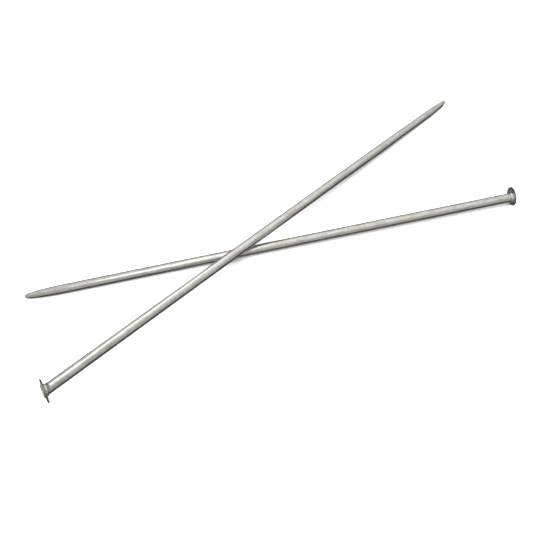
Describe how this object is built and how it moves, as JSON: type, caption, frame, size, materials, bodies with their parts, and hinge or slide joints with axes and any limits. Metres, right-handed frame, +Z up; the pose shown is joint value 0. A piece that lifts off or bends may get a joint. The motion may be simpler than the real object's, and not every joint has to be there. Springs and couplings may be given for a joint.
{
  "type": "tent stake pair",
  "caption": "Heavy round-bar tent stakes, one crossed over the other: forged point, flange washer welded at the head, galvanised steel.",
  "frame": {"origin": "on the ground, under the middle of the pair's bounding box", "axes": "+X from the lower stake's point towards its head, +Z up; the upper stake's point is towards +X and +Y"},
  "size_m": [1.0172, 0.5266, 0.0682],
  "materials": {
    "galvanised_bar": "dull hot-dip zinc, mottled",
    "galvanised_washer": "dull grey zinc, darker rim",
    "galvanised_weld": "zinc over a rough weld bead"
  },
  "bodies": {
    "lower_stake": {"lower_shank": "galvanised_bar", "lower_flange_washer": "galvanised_washer", "lower_fillet_weld": "galvanised_weld", "lower_seal_weld": "galvanised_weld"},
    "upper_stake": {"upper_shank": "galvanised_bar", "upper_flange_washer": "galvanised_washer", "upper_fillet_weld": "galvanised_weld", "upper_seal_weld": "galvanised_weld"}
  },
  "joints": [
    {"name": "upper_stake_lift", "type": "slide", "parent": "lower_stake", "child": "upper_stake", "axis": [0, 0, 1], "range_m": [0, 0.15]}
  ]
}
